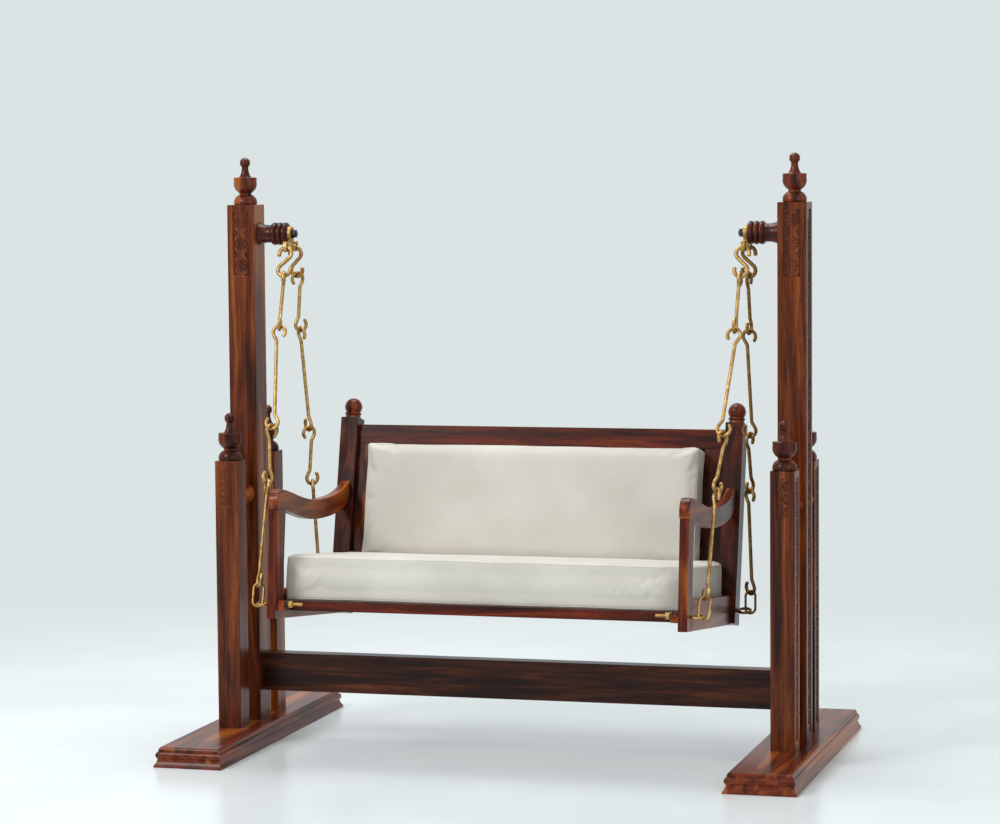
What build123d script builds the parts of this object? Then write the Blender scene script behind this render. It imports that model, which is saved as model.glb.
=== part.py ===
from build123d import *
import os
from math import acos, asin, atan2, cos, degrees, hypot, radians, sin, sqrt

# A jhoola: a two-seat swing hung on jointed brass rods between two stands of turned and square posts.
# Millimetres. The origin is on the floor midway between the stands, +X along the seat, +Y to its back.

os.makedirs("parts", exist_ok=True)

# Fits
glue_line = 0.2          # round every tenon and spigot, and at its end
running_fit = 0.05       # radial, hanger on its stud and nut on its thread
face_gap = 0.4           # beside a face that slides or a pad that is laid in
link_gap = 0.3           # between two wires that bear on each other
bolt_fit = 0.4           # radial, a plain bolt hole

# Plinths, one under each stand, with the moulding's members from the floor up
stand_spacing = 1624
plinth_length = 1071
plinth_width = 203
plinth_foot = 5
plinth_hollow = 19
plinth_hollow_sweep = 32
plinth_bead = 19
plinth_ovolo = 13
hollow_set_back = 9
bead_bulge = 4.5
ovolo_set_back = 11.5
top_set_back = 16
plinth_height = plinth_foot + plinth_hollow + plinth_bead + plinth_ovolo
stand_x = stand_spacing / 2

# Square posts
tall_post_width = 82
tall_post_depth = 92
tall_post_height = 1512
short_post_width = 69
short_post_depth = 72
short_post_height = 777
short_post_y = 158
post_edge = 2
tenon_shoulder = 14
tenon_length = 32

# Carved grounds sunk into the posts' outer sides and front faces
carving_depth = 3
strip_margin = 20
tall_strip_width = 52
short_strip_width = 46
panel_depth = 2
panel_top = 20
tall_panel_width = 48
tall_panel_height = 187
short_panel_width = 32
short_panel_height = 112

# Turned finial, from its seat up
finial_base_radius = 34
finial_base_height = 29
finial_neck_radius = 19
finial_neck_height = 6
finial_bowl_radius = 33.5
finial_bowl_height = 44
finial_stem_foot_radius = 18
finial_stem_radius = 10
finial_stem_height = 34
finial_stem_sweep = 54
finial_knob_radius = 14
dowel_radius = 8
dowel_length = 30

# Turned spacers between the short posts and the tall one
spacer_radius = 32
spacer_waist_radius = 24
spacer_drop = 106        # from the short posts' tops to the drums' axis

# Stretcher between the two stands
stretcher_z = 198
stretcher_height = 112
stretcher_thickness = 51
stretcher_tenon_shoulder = 11

# Turned pegs that carry the hangers
pivot_drop = 85          # from the tall posts' tops to the pivots
peg_root_radius = 30.5
peg_neck_radius = 27
peg_shaft_length = 42
peg_shaft_sweep = 168
peg_bead_radius = 32.5
peg_bead_width = 16
peg_bead_count = 3
peg_spigot_radius = 16
peg_spigot_length = 50
peg_end_x = stand_x - tall_post_width / 2 - peg_shaft_length - peg_bead_count * peg_bead_width

# Stud, washer and nut at each pivot
stud_radius = 7
stud_depth = 75
stud_stub = 3
stud_chamfer = 1.5
stud_washer_radius = 14
stud_washer_thickness = 3
stud_nut_across = 22
stud_nut_height = 9

# Cast hanger: a round eye over two lobes, each with a hole for one S-hook
hanger_thickness = 12
hanger_eye_radius = 21
lobe_y = 40
lobe_radius = 14
lobe_top_drop = 22
lobe_hole_drop = 38.5
lobe_hole_radius = 8
hanger_x = peg_end_x - face_gap - hanger_thickness / 2

# S-hooks, hooked rods and rings of the four hangings
s_wire = 11
s_bend_radius = 18.5
s_inner_length = 76
s_tip_length = 8
rod_wire = 9.5
rod_hook_radius = 18.25
rod_neck_angle = 32
rod_neck_offset = 6
rod_neck_bend = 12
rod_tip_angle = 48
short_rod_inner = 163
ring_wire = 6.5
ring_width = 36
ring_inner_length = 60
# Room beyond a square crossing, where a ring bears on its eye
skew_room = {"front": 1.0, "rear": 0.2}
wire_sides = 8

# How far each hanging's pieces turn about its line: S-hook, four rods, ring
turns = {
    ("left", "front"): (0, 90, 0, 86, -70, 5),
    ("left", "rear"): (-10, 52, 138, 46, 110, 25),
    ("right", "front"): (0, 90, 0, 80, -70, 10),
    ("right", "rear"): (0, 82, -6, 70, -40, 30),
}

# Eye bolts through the seat frame
eye_wire = 8
eye_radius = 17
eye_roll = {"front": 5, "rear": 14}
bolt_radius = 5
bolt_length = 116        # from the eye's centre to the tip
shank_lap = 2            # of the shank into the eye's wire
bolt_washer_radius = 13.5
bolt_washer_thickness = 6.5
bolt_nut_across = 19
bolt_nut_height = 12

# Seat frame, in its own tilted frame: origin on the front bolts' axis, +Y to the back, +Z up
seat_front_y = -418
front_bolt_z = 456.6
seat_half_width = 600
bolt_spacing = 588
board_thickness = 26
rail_height = 84
rail_below = 41
leg_front = 30
leg_back_low = 27
leg_back_high = 37
arm_width = 29
arm_depth = 57
arm_overhang = 6
arm_nose_radius = 34
arm_front = ((0, 321), (81, 314), (158, 303), (291, 294), (380, 299), (470, 310))
arm_back = ((-27, 334), (32, 365))  # from the rear bolts
batten_thickness = 22
batten_height = 28
batten_drop = 18
front_batten_y = 38
rear_batten_gap = 66     # from the rear bolts forward
slat_count = 7
slat_width = 48
slat_thickness = 15
slat_bearing = 14
side_batten_front = -20
side_batten_gap = 43     # from the rear bolts forward

# Back of the seat, raked about the rear bolts
back_rake = 7.25
back_post_width = 53
back_post_depth = 65
back_post_top = 543
back_post_bottom = 41
ball_radius = 26
ball_collar_radius = 23
ball_collar_height = 7
ball_neck_radius = 15
ball_neck_height = 7
frame_thickness = 25
top_rail_height = 58
top_rail_top = 524
low_rail_height = 60
low_rail_bottom = 48
stile_width = 60
back_panel_thickness = 9
panel_groove = 10

# Loose cushions
seat_pad_front = 40
seat_pad_back = 26       # from the rear bolts forward
seat_pad_height = 124
seat_pad_gap = 4
back_pad_gap = 57.5      # beside it, to the back posts
back_pad_thickness = 94
back_pad_top = 452       # above the rear bolts, along the back
pad_round = 26

post_inner_x = stand_x - tall_post_width / 2
tall_top = plinth_height + tall_post_height
short_top = plinth_height + short_post_height
pivot_z = tall_top - pivot_drop
rear_batten_y = bolt_spacing - rear_batten_gap
side_batten_length = bolt_spacing - side_batten_gap - side_batten_front
seat_pad_depth = bolt_spacing - seat_pad_back - seat_pad_front

# Where the hangings start: the top of each S-hook's bend, which straddles the lobe's thickness
s_inner_radius = s_bend_radius - s_wire / 2
straddle = s_inner_radius - sqrt(s_inner_radius**2 - (hanger_thickness / 2) ** 2)
hook_top_z = pivot_z - lobe_hole_drop - lobe_hole_radius + link_gap + s_wire / 2 + straddle

# Where they end: the outermost point of each eye, which stands clear of the frame's outer face
eye_reach = eye_radius + eye_wire / 2 + link_gap
back_post_outer = seat_half_width - board_thickness / 2 + back_post_width / 2
back_post_inner = back_post_outer - back_post_width
front_eye_x = seat_half_width + eye_reach
rear_eye_x = back_post_outer + eye_reach

# Lengths along a hanging, from wire centre to wire centre: each piece bears on the one above it, and
# the long rods are cut so that the front bolts hang at their height
front_bolt = Vector(0, seat_front_y, front_bolt_z)
front_length = hypot(hook_top_z - front_bolt_z, hanger_x - front_eye_x - eye_radius, seat_front_y + lobe_y)
rear_length = front_length + skew_room["front"] - skew_room["rear"]
wires = (s_wire, rod_wire, rod_wire, rod_wire, rod_wire, ring_wire)
bearings = [(above + below) / 2 + link_gap for above, below in zip(wires, wires[1:])]
eye_bearing = (ring_wire + eye_wire) / 2 + link_gap
s_span = s_inner_length + s_wire
short_span = short_rod_inner + rod_wire
ring_span = ring_inner_length + ring_wire
others = s_span + 2 * short_span + ring_span - sum(bearings) - eye_bearing - skew_room["front"]
long_span = (front_length - others) / 2
spans = (s_span, short_span, long_span, short_span, long_span, ring_span)
starts = [sum(spans[:piece]) - sum(bearings[:piece]) for piece in range(len(spans))]

# The rear hangings settle how far the seat tilts back
rear_reach = sqrt(rear_length**2 - (hanger_x - rear_eye_x - eye_radius) ** 2)
run = lobe_y - seat_front_y
rise = hook_top_z - front_bolt_z
diagonal = hypot(run, rise)
corner = acos((bolt_spacing**2 + diagonal**2 - rear_reach**2) / (2 * bolt_spacing * diagonal))
seat_tilt = degrees(corner - atan2(rise, run))
seat = Plane(front_bolt).rotated((-seat_tilt, 0, 0))
rear_bolt = seat.from_local_coords((0, bolt_spacing, 0))
back = Plane(rear_bolt).rotated((-seat_tilt - back_rake, 0, 0))
post_face = Plane(back.from_local_coords((0, -back_post_depth / 2, 0)), x_dir=back.x_dir, z_dir=-back.y_dir)


def save(piece, name):
    """Labels a finished piece and writes its file."""
    piece.part.label = name
    export_step(piece.part, f"parts/{name}.step")


def save_group(pieces, name):
    """Labels a group of like pieces that stay apart and writes its file."""
    group = Compound([solid for piece in pieces for solid in piece.solids()])
    group.label = name
    export_step(group, f"parts/{name}.step")


def mirrored(piece, name):
    """Makes the left piece as the mirror image of the right one, and writes both."""
    save(piece, f"right_{name}")
    with BuildPart() as left:
        mirror(piece.part, about=Plane.YZ)
    save(left, f"left_{name}")


def post_blank(x, y, width, depth, height):
    """Adds a square post with its stub tenon, standing on the plinth at (x, y)."""
    foot = Plane((x, y, plinth_height))
    with BuildSketch(foot) as shaft:
        RectangleRounded(width, depth, post_edge)
    extrude(shaft.sketch, amount=height)
    with BuildSketch(foot) as tenon:
        Rectangle(width - 2 * tenon_shoulder, depth - 2 * tenon_shoulder)
    extrude(tenon.sketch, amount=-tenon_length)


def mortise(x, y, width, depth):
    """Cuts the plinth's mortise for a post standing at (x, y)."""
    with BuildSketch(Plane((x, y, plinth_height))) as opening:
        room = 2 * (glue_line - tenon_shoulder)
        Rectangle(width + room, depth + room)
    extrude(opening.sketch, amount=-tenon_length - glue_line, mode=Mode.SUBTRACT)


def sink(plane, width, height, depth):
    """Sinks a rectangular ground for carving into the face that a plane lies on."""
    with BuildSketch(plane) as ground:
        Rectangle(width, height)
    extrude(ground.sketch, amount=-depth, mode=Mode.SUBTRACT)


def bore(plane, radius, depth):
    """Drills a blind round hole into the face that a plane lies on."""
    with BuildSketch(plane) as mouth:
        Circle(radius)
    extrude(mouth.sketch, amount=-depth, mode=Mode.SUBTRACT)


def bent_wire(path, wire):
    """Sweeps a wire of the given thickness along a path that lies flat in XY."""
    with BuildPart() as bent:
        with BuildSketch(Plane(path @ 0, x_dir=(0, 0, 1), z_dir=path % 0)):
            RegularPolygon(wire / 2, wire_sides)
        sweep(path=path)
    return bent.part


def s_hook():
    """Bends an S-hook about the origin: its upper mouth faces +x, its lower mouth -x."""
    half = s_span / 2 - s_bend_radius
    slant = degrees(asin(s_bend_radius / half))
    with BuildLine() as path:
        Line((s_bend_radius, half - s_tip_length), (s_bend_radius, half))
        upper = CenterArc((0, half), s_bend_radius, 0, 180 + slant)
        lower = CenterArc((0, -half), s_bend_radius, slant, -180 - slant)
        Line(upper @ 1, lower @ 0)
        Line((-s_bend_radius, -half), (-s_bend_radius, -half + s_tip_length))
    return bent_wire(path.wire(), s_wire)


def hooked_rod(span):
    """Bends a rod about the origin, with an open hook at each end, the lower one turned over."""
    half = span / 2 - rod_hook_radius
    angle = radians(rod_neck_angle)
    leave = Vector(-rod_hook_radius * cos(angle), half - rod_hook_radius * sin(angle))
    neck = leave + Vector(sin(angle), -cos(angle)) * ((-rod_neck_offset - leave.X) / sin(angle))
    sweep_angle = 180 + rod_neck_angle + rod_tip_angle
    with BuildLine() as path:
        CenterArc((0, half), rod_hook_radius, -rod_tip_angle, sweep_angle)
        FilletPolyline(leave, neck, -neck, -leave, radius=rod_neck_bend)
        CenterArc((0, -half), rod_hook_radius, rod_neck_angle, -sweep_angle)
    return bent_wire(path.wire(), rod_wire)


def oval_ring():
    """Bends a closed oval ring about the origin."""
    end_radius = (ring_width - ring_wire) / 2
    half = ring_span / 2 - end_radius
    with BuildLine() as path:
        CenterArc((0, half), end_radius, 0, 180)
        Line((-end_radius, half), (-end_radius, -half))
        CenterArc((0, -half), end_radius, 180, 180)
        Line((end_radius, -half), (end_radius, half))
    return bent_wire(path.wire(), ring_wire)


def eye_bolt():
    """Bends an eye bolt: its eye about the origin, its shank along -x."""
    with BuildPart() as bolt:
        with BuildSketch(Plane.XZ):
            with Locations((eye_radius, 0)):
                RegularPolygon(eye_wire / 2, wire_sides)
        revolve(axis=Axis.Z)
        with BuildSketch(Plane.YZ.offset(-bolt_length)):
            Circle(bolt_radius)
        extrude(amount=bolt_length - eye_radius + shank_lap)
    return bolt.part


def hex_nut(plane, across, height, bolt):
    """Adds a hexagon nut that stands on a plane around a bolt of the given radius."""
    with BuildSketch(plane) as outline:
        RegularPolygon(across / 2, 6, major_radius=False)
        Circle(bolt, mode=Mode.SUBTRACT)
    extrude(outline.sketch, amount=height)


def washer(plane, radius, thickness, bolt):
    """Adds a round washer that lies on a plane around a bolt of the given radius."""
    with BuildSketch(plane) as outline:
        Circle(radius)
        Circle(bolt, mode=Mode.SUBTRACT)
    extrude(outline.sketch, amount=thickness)


def hanging_planes(hand, end):
    """Gives each piece of one hanging its plane: origin mid-piece, +y up the line, +x across its bends."""
    top = Vector(hand * hanger_x, lobe_y if end == "rear" else -lobe_y, hook_top_z)
    up = (top - eye_plane(hand, end).from_local_coords((eye_radius, 0, 0))).normalized()
    outward = Vector(hand, 0, 0)
    outward = (outward - up * outward.dot(up)).normalized()
    planes = []
    for start, span, turn in zip(starts, spans, turns["left" if hand < 0 else "right", end]):
        across = outward.rotate(Axis((0, 0, 0), up), turn)
        planes.append(Plane(top - up * (start + span / 2), x_dir=across, z_dir=across.cross(up)))
    return planes


def eye_plane(hand, end):
    """Gives the plane that one eye is bent in, its centre at the origin and +x outward."""
    x, hole = (front_eye_x, front_bolt) if end == "front" else (rear_eye_x, rear_bolt)
    roll = radians(eye_roll[end])
    return Plane((hand * x, hole.Y, hole.Z), (hand, 0, 0), (0, -sin(roll), cos(roll)))


def from_side(frame, x):
    """Gives the plane at x that shows a tilted frame from its side: +x to the back, +y up."""
    return Plane(frame.from_local_coords((x, 0, 0)), x_dir=frame.y_dir, z_dir=frame.x_dir)


def bolt_hole(frame, x_start, x_end):
    """Drills a hole for an eye bolt along a frame's X axis, from x_start to x_end."""
    with BuildSketch(from_side(frame, x_start)) as mouth:
        Circle(bolt_radius + bolt_fit)
    extrude(mouth.sketch, amount=x_end - x_start, mode=Mode.SUBTRACT)


def plinth_outline(half_width):
    """Draws the section of a plinth whose moulded edges stand at +-half_width."""
    hollow_top = plinth_foot + plinth_hollow
    bead_top = hollow_top + plinth_bead
    edge = half_width - hollow_set_back
    with BuildSketch() as outline:
        with BuildLine():
            foot = Polyline((0, 0), (half_width, 0), (half_width, plinth_foot))
            hollow = RadiusArc(foot @ 1, (edge, hollow_top), plinth_hollow_sweep)
            crown = (edge + bead_bulge, hollow_top + plinth_bead / 2)
            bead = ThreePointArc(hollow @ 1, crown, (edge, bead_top))
            step = Line(bead @ 1, (half_width - ovolo_set_back, bead_top))
            ovolo = RadiusArc(step @ 1, (half_width - top_set_back, plinth_height), -plinth_ovolo)
            Polyline(ovolo @ 1, (0, plinth_height), (0, 0))
        make_face()
        mirror(about=Plane.YZ)
    return outline.sketch


def finial_outline():
    """Draws half of the finial's turned section, standing on the X axis, with its dowel below."""
    neck_z = finial_base_height + finial_neck_height
    lip_z = neck_z + finial_bowl_height
    stem_z = lip_z + finial_stem_height
    knob_z = stem_z + sqrt(finial_knob_radius**2 - finial_stem_radius**2)
    with BuildSketch() as outline:
        with BuildLine():
            dowel = Polyline((0, -dowel_length), (dowel_radius, -dowel_length), (dowel_radius, 0))
            seat = Line(dowel @ 1, (finial_base_radius, 0))
            dome = RadiusArc(seat @ 1, (finial_neck_radius, finial_base_height), -finial_base_height)
            neck = Line(dome @ 1, (finial_neck_radius, neck_z))
            bowl = RadiusArc(neck @ 1, (finial_bowl_radius, lip_z), -finial_bowl_height)
            lip = Line(bowl @ 1, (finial_stem_foot_radius, lip_z))
            stem = RadiusArc(lip @ 1, (finial_stem_radius, stem_z), finial_stem_sweep)
            side = (finial_knob_radius, knob_z)
            knob = ThreePointArc(stem @ 1, side, (0, knob_z + finial_knob_radius))
            Line(knob @ 1, (0, -dowel_length))
        make_face()
    return outline.sketch


# Plinths: moulded boards, mitred at the corners, with a mortise for each post
with BuildPart() as plinth:
    with BuildSketch(Plane.XZ.offset(-plinth_length / 2)):
        with Locations((stand_x, 0)):
            add(plinth_outline(plinth_width / 2))
    extrude(amount=plinth_length)
    with BuildSketch(Plane.YZ.offset(stand_x - plinth_width / 2)):
        add(plinth_outline(plinth_length / 2))
    extrude(amount=plinth_width, mode=Mode.INTERSECT)
    mortise(stand_x, 0, tall_post_width, tall_post_depth)
    for y in (-short_post_y, short_post_y):
        mortise(stand_x, y, short_post_width, short_post_depth)
mirrored(plinth, "plinth")

# Tall posts: a stub tenon below, a mortise for the stretcher, bores for the peg and the finial
with BuildPart() as tall_post:
    post_blank(stand_x, 0, tall_post_width, tall_post_depth, tall_post_height)
    strip_z = plinth_height + tall_post_height / 2
    strip = Plane((stand_x + tall_post_width / 2, 0, strip_z), (0, 1, 0), (1, 0, 0))
    sink(strip, tall_strip_width, tall_post_height - 2 * strip_margin, carving_depth)
    panel_z = tall_top - panel_top - tall_panel_height / 2
    panel = Plane((stand_x, -tall_post_depth / 2, panel_z), (1, 0, 0), (0, -1, 0))
    sink(panel, tall_panel_width, tall_panel_height, panel_depth)
    socket = Plane((post_inner_x, 0, stretcher_z), (0, 1, 0), (-1, 0, 0))
    tenon_width = stretcher_thickness - 2 * stretcher_tenon_shoulder + 2 * glue_line
    tenon_height = stretcher_height - 2 * stretcher_tenon_shoulder + 2 * glue_line
    sink(socket, tenon_width, tenon_height, tenon_length + glue_line)
    peg_mouth = Plane((post_inner_x, 0, pivot_z), (0, 1, 0), (-1, 0, 0))
    bore(peg_mouth, peg_spigot_radius + glue_line, peg_spigot_length + glue_line)
    bore(Plane((stand_x, 0, tall_top)), dowel_radius + glue_line, dowel_length + glue_line)
mirrored(tall_post, "tall_post")

# Short posts, one before and one behind each tall post; the front ones carry a carved panel
for end, y in (("front", -short_post_y), ("rear", short_post_y)):
    with BuildPart() as short_post:
        post_blank(stand_x, y, short_post_width, short_post_depth, short_post_height)
        strip_z = plinth_height + short_post_height / 2
        strip = Plane((stand_x + short_post_width / 2, y, strip_z), (0, 1, 0), (1, 0, 0))
        sink(strip, short_strip_width, short_post_height - 2 * strip_margin, carving_depth)
        bore(Plane((stand_x, y, short_top)), dowel_radius + glue_line, dowel_length + glue_line)
        if end == "front":
            panel_z = short_top - panel_top - short_panel_height / 2
            panel = Plane((stand_x, y - short_post_depth / 2, panel_z), (1, 0, 0), (0, -1, 0))
            sink(panel, short_panel_width, short_panel_height, panel_depth)
    mirrored(short_post, f"{end}_post")

# Finials, doweled into the six posts
post_tops = (("tall", 0, tall_top), ("front", -short_post_y, short_top), ("rear", short_post_y, short_top))
for place, y, seat_z in post_tops:
    with BuildPart() as finial:
        with BuildSketch(Plane((stand_x, y, seat_z), (1, 0, 0), (0, -1, 0))):
            add(finial_outline())
        revolve(axis=Axis((stand_x, y, seat_z), (0, 0, 1)))
    mirrored(finial, f"{place}_finial")

# Spacers: turned drums that tie each short post to the tall post
spacer_z = short_top - spacer_drop
spacer_start = tall_post_depth / 2
spacer_end = short_post_y - short_post_depth / 2
with BuildPart() as spacers:
    with BuildSketch(Plane.XY.offset(spacer_z)):
        with BuildLine():
            waist = (stand_x + spacer_waist_radius, (spacer_start + spacer_end) / 2)
            near = (stand_x + spacer_radius, spacer_start)
            far = (stand_x + spacer_radius, spacer_end)
            ThreePointArc(near, waist, far)
            Polyline(far, (stand_x, spacer_end), (stand_x, spacer_start), near)
        make_face()
    revolve(axis=Axis((stand_x, 0, spacer_z), (0, 1, 0)))
    mirror(about=Plane.XZ)
mirrored(spacers, "spacers")

# Stretcher between the tall posts, with a stub tenon at each end
with BuildPart() as stretcher:
    with BuildSketch(Plane.YZ.offset(-post_inner_x)):
        with Locations((0, stretcher_z)):
            RectangleRounded(stretcher_thickness, stretcher_height, post_edge)
    extrude(amount=2 * post_inner_x)
    with BuildSketch(Plane.YZ.offset(-post_inner_x - tenon_length)):
        with Locations((0, stretcher_z)):
            tenon_width = stretcher_thickness - 2 * stretcher_tenon_shoulder
            Rectangle(tenon_width, stretcher_height - 2 * stretcher_tenon_shoulder)
    extrude(amount=2 * (post_inner_x + tenon_length))
save(stretcher, "stretcher")

# Turned pegs: a waisted shaft, three beads, a spigot into the post and a bore for the stud
with BuildPart() as peg:
    with BuildSketch(Plane.XZ):
        with BuildLine():
            root = Polyline(
                (post_inner_x + peg_spigot_length, pivot_z),
                (post_inner_x + peg_spigot_length, pivot_z + peg_spigot_radius),
                (post_inner_x, pivot_z + peg_spigot_radius),
                (post_inner_x, pivot_z + peg_root_radius),
            )
            beads_x = post_inner_x - peg_shaft_length
            neck_z = pivot_z + peg_neck_radius
            RadiusArc(root @ 1, (beads_x, neck_z), peg_shaft_sweep)
            for bead in range(peg_bead_count):
                start = beads_x - bead * peg_bead_width
                crown = (start - peg_bead_width / 2, pivot_z + peg_bead_radius)
                ThreePointArc((start, neck_z), crown, (start - peg_bead_width, neck_z))
            Polyline((peg_end_x, neck_z), (peg_end_x, pivot_z), root @ 0)
        make_face()
    revolve(axis=Axis((0, 0, pivot_z), (1, 0, 0)))
    stud_mouth = Plane((peg_end_x, 0, pivot_z), (0, 1, 0), (-1, 0, 0))
    bore(stud_mouth, stud_radius + glue_line, stud_depth + glue_line)
mirrored(peg, "peg")

# Pivot stud in each peg, and the washer and nut that keep the hanger on it
washer_x = hanger_x - hanger_thickness / 2 - face_gap
nut_x = washer_x - stud_washer_thickness
stud_tip_x = nut_x - stud_nut_height - stud_stub
with BuildPart() as stud:
    with BuildSketch(Plane((stud_tip_x, 0, pivot_z), (0, 1, 0), (1, 0, 0))):
        Circle(stud_radius)
    extrude(amount=peg_end_x + stud_depth - stud_tip_x)
    chamfer(stud.edges().group_by(Axis.X)[0], stud_chamfer)
mirrored(stud, "pivot_stud")

with BuildPart() as pivot_washers:
    washer_face = Plane((washer_x, 0, pivot_z), (0, 1, 0), (-1, 0, 0))
    washer(washer_face, stud_washer_radius, stud_washer_thickness, stud_radius + glue_line)
    mirror(about=Plane.YZ)
save(pivot_washers, "pivot_washers")

with BuildPart() as pivot_nuts:
    nut_face = Plane((nut_x, 0, pivot_z), (0, 1, 0), (-1, 0, 0))
    hex_nut(nut_face, stud_nut_across, stud_nut_height, stud_radius)
    mirror(about=Plane.YZ)
save(pivot_nuts, "pivot_nuts")

# Hangers: cast brass, an eye that turns on the stud and a lobe before and behind it for the S-hooks
with BuildPart() as hanger:
    with BuildSketch(Plane((hanger_x - hanger_thickness / 2, 0, pivot_z), (0, 1, 0), (1, 0, 0))):
        Circle(hanger_eye_radius)
        with Locations((-lobe_y, -lobe_top_drop), (lobe_y, -lobe_top_drop)):
            Circle(lobe_radius)
        make_hull()
        for y in (-lobe_y, lobe_y):
            with Locations((y, -(lobe_top_drop + lobe_hole_drop) / 2)):
                SlotCenterToCenter(lobe_hole_drop - lobe_top_drop, 2 * lobe_radius, rotation=90)
        Circle(stud_radius + running_fit, mode=Mode.SUBTRACT)
        with Locations((-lobe_y, -lobe_hole_drop), (lobe_y, -lobe_hole_drop)):
            Circle(lobe_hole_radius, mode=Mode.SUBTRACT)
    extrude(amount=hanger_thickness)
mirrored(hanger, "hanger")

# The hangings: an S-hook, four hooked rods and a ring, each piece turned about the line it hangs in
sides = (("left", -1), ("right", 1))
ends = ("front", "rear")
for side, hand in sides:
    hangings = {end: hanging_planes(hand, end) for end in ends}
    save_group([hangings[end][0].location * s_hook() for end in ends], f"{side}_s_hooks")
    for end in ends:
        rods = zip(hangings[end][1:-1], spans[1:-1])
        save_group([plane.location * hooked_rod(span) for plane, span in rods], f"{side}_{end}_rods")
    save_group([hangings[end][-1].location * oval_ring() for end in ends], f"{side}_rings")
    save_group([eye_plane(hand, end).location * eye_bolt() for end in ends], f"{side}_eye_bolts")

# A washer and a nut on each eye bolt, against the batten at the front and the back post at the rear
batten_inner = seat_half_width - board_thickness - batten_thickness
nut_faces = [Plane(seat.from_local_coords((batten_inner, 0, 0)), seat.y_dir, -seat.x_dir)]
nut_faces.append(Plane(seat.from_local_coords((back_post_inner, bolt_spacing, 0)), seat.y_dir, -seat.x_dir))
with BuildPart() as bolt_washers:
    for face in nut_faces:
        washer(face, bolt_washer_radius, bolt_washer_thickness, bolt_radius + bolt_fit)
    mirror(about=Plane.YZ)
save(bolt_washers, "bolt_washers")

with BuildPart() as bolt_nuts:
    for face in nut_faces:
        stand_on = face.offset(bolt_washer_thickness)
        hex_nut(stand_on, bolt_nut_across, bolt_nut_height, bolt_radius + running_fit)
    mirror(about=Plane.YZ)
save(bolt_nuts, "bolt_nuts")


def leg_outline():
    """Draws the front leg from its side: upright in front, tapering behind, its top inside the arm."""
    top = arm_front[0][1] - arm_depth / 2
    with BuildSketch() as outline:
        with BuildLine():
            back_edge = Line((leg_back_low, -rail_below), (leg_back_high, top))
            Polyline(back_edge @ 1, (-leg_front, top), (-leg_front, -rail_below), back_edge @ 0)
        make_face()
    return outline.sketch


def arm_outline():
    """Draws the arm from its side: a rounded nose, a swept top, and the same sweep for its underside."""
    line = arm_front + tuple((bolt_spacing + y, z) for y, z in arm_back)
    front = -leg_front - arm_overhang
    nose_top = line[0][1]
    nose_end = (front + arm_nose_radius, nose_top)
    with BuildSketch() as outline:
        with BuildLine():
            nose = RadiusArc((front, nose_top - arm_nose_radius), nose_end, arm_nose_radius)
            top = Spline(nose @ 1, *line[1:])
            under = Spline((front, nose_top - arm_depth), *[(y, z - arm_depth) for y, z in line])
            Line(top @ 1, under @ 1)
            Line(nose @ 0, under @ 0)
        make_face()
    return outline.sketch


# Front legs: upright boards that the arms lie on and the front eye bolts pass through
board_inner = seat_half_width - board_thickness
with BuildPart() as front_leg:
    with BuildSketch(from_side(seat, board_inner)):
        add(leg_outline())
    extrude(amount=board_thickness)
    with BuildSketch(from_side(seat, board_inner)):
        add(arm_outline())
    extrude(amount=board_thickness, mode=Mode.SUBTRACT)
    bolt_hole(seat, board_inner, seat_half_width)
mirrored(front_leg, "front_leg")

# Arms: sawn to an S, with a rounded nose over the leg, butted to the back post
with BuildPart() as arm:
    with BuildSketch(from_side(seat, seat_half_width - board_thickness / 2 - arm_width / 2)):
        add(arm_outline())
    extrude(amount=arm_width)
    split(bisect_by=post_face, keep=Keep.TOP)
mirrored(arm, "arm")

# Side rails, from the front leg to the back post
with BuildPart() as side_rail:
    with BuildSketch(from_side(seat, board_inner)):
        with Locations((0, -rail_below)):
            Rectangle(bolt_spacing, rail_height, align=(Align.MIN, Align.MIN))
        add(leg_outline(), mode=Mode.SUBTRACT)
    extrude(amount=board_thickness)
    split(bisect_by=post_face, keep=Keep.TOP)
mirrored(side_rail, "side_rail")

# Side battens inside the rails, notched for the slats
first_slat = front_batten_y + batten_thickness / 2
last_slat = rear_batten_y - batten_thickness / 2
slat_gap = (last_slat - first_slat - slat_count * slat_width) / (slat_count + 1)
slat_pitch = slat_width + slat_gap
slat_places = [first_slat + slat_gap + slat_width / 2 + n * slat_pitch for n in range(slat_count)]
batten_top = batten_height - batten_drop
with BuildPart() as side_batten:
    with BuildSketch(seat.offset(-batten_drop)):
        with Locations((batten_inner, side_batten_front)):
            Rectangle(batten_thickness, side_batten_length, align=(Align.MIN, Align.MIN))
    extrude(amount=batten_height)
    with BuildSketch(seat.offset(batten_top)):
        for y in slat_places:
            with Locations((batten_inner, y)):
                Rectangle(2 * (slat_bearing + glue_line), slat_width + 2 * glue_line)
    extrude(amount=-slat_thickness, mode=Mode.SUBTRACT)
    bolt_hole(seat, batten_inner, board_inner)
mirrored(side_batten, "side_batten")

# Front and rear battens between the side ones
for name, y in (("front_batten", front_batten_y), ("rear_batten", rear_batten_y)):
    with BuildPart() as batten:
        with BuildSketch(seat.offset(-batten_drop)):
            with Locations((0, y)):
                Rectangle(2 * batten_inner, batten_thickness)
        extrude(amount=batten_height)
    save(batten, name)

# Slats, laid in the notches and flush with the battens' tops
with BuildPart() as slats:
    with BuildSketch(seat.offset(batten_top - slat_thickness)):
        for y in slat_places:
            with Locations((0, y)):
                Rectangle(2 * (batten_inner + slat_bearing), slat_width)
    extrude(amount=slat_thickness)
save(slats, "slats")

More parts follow.
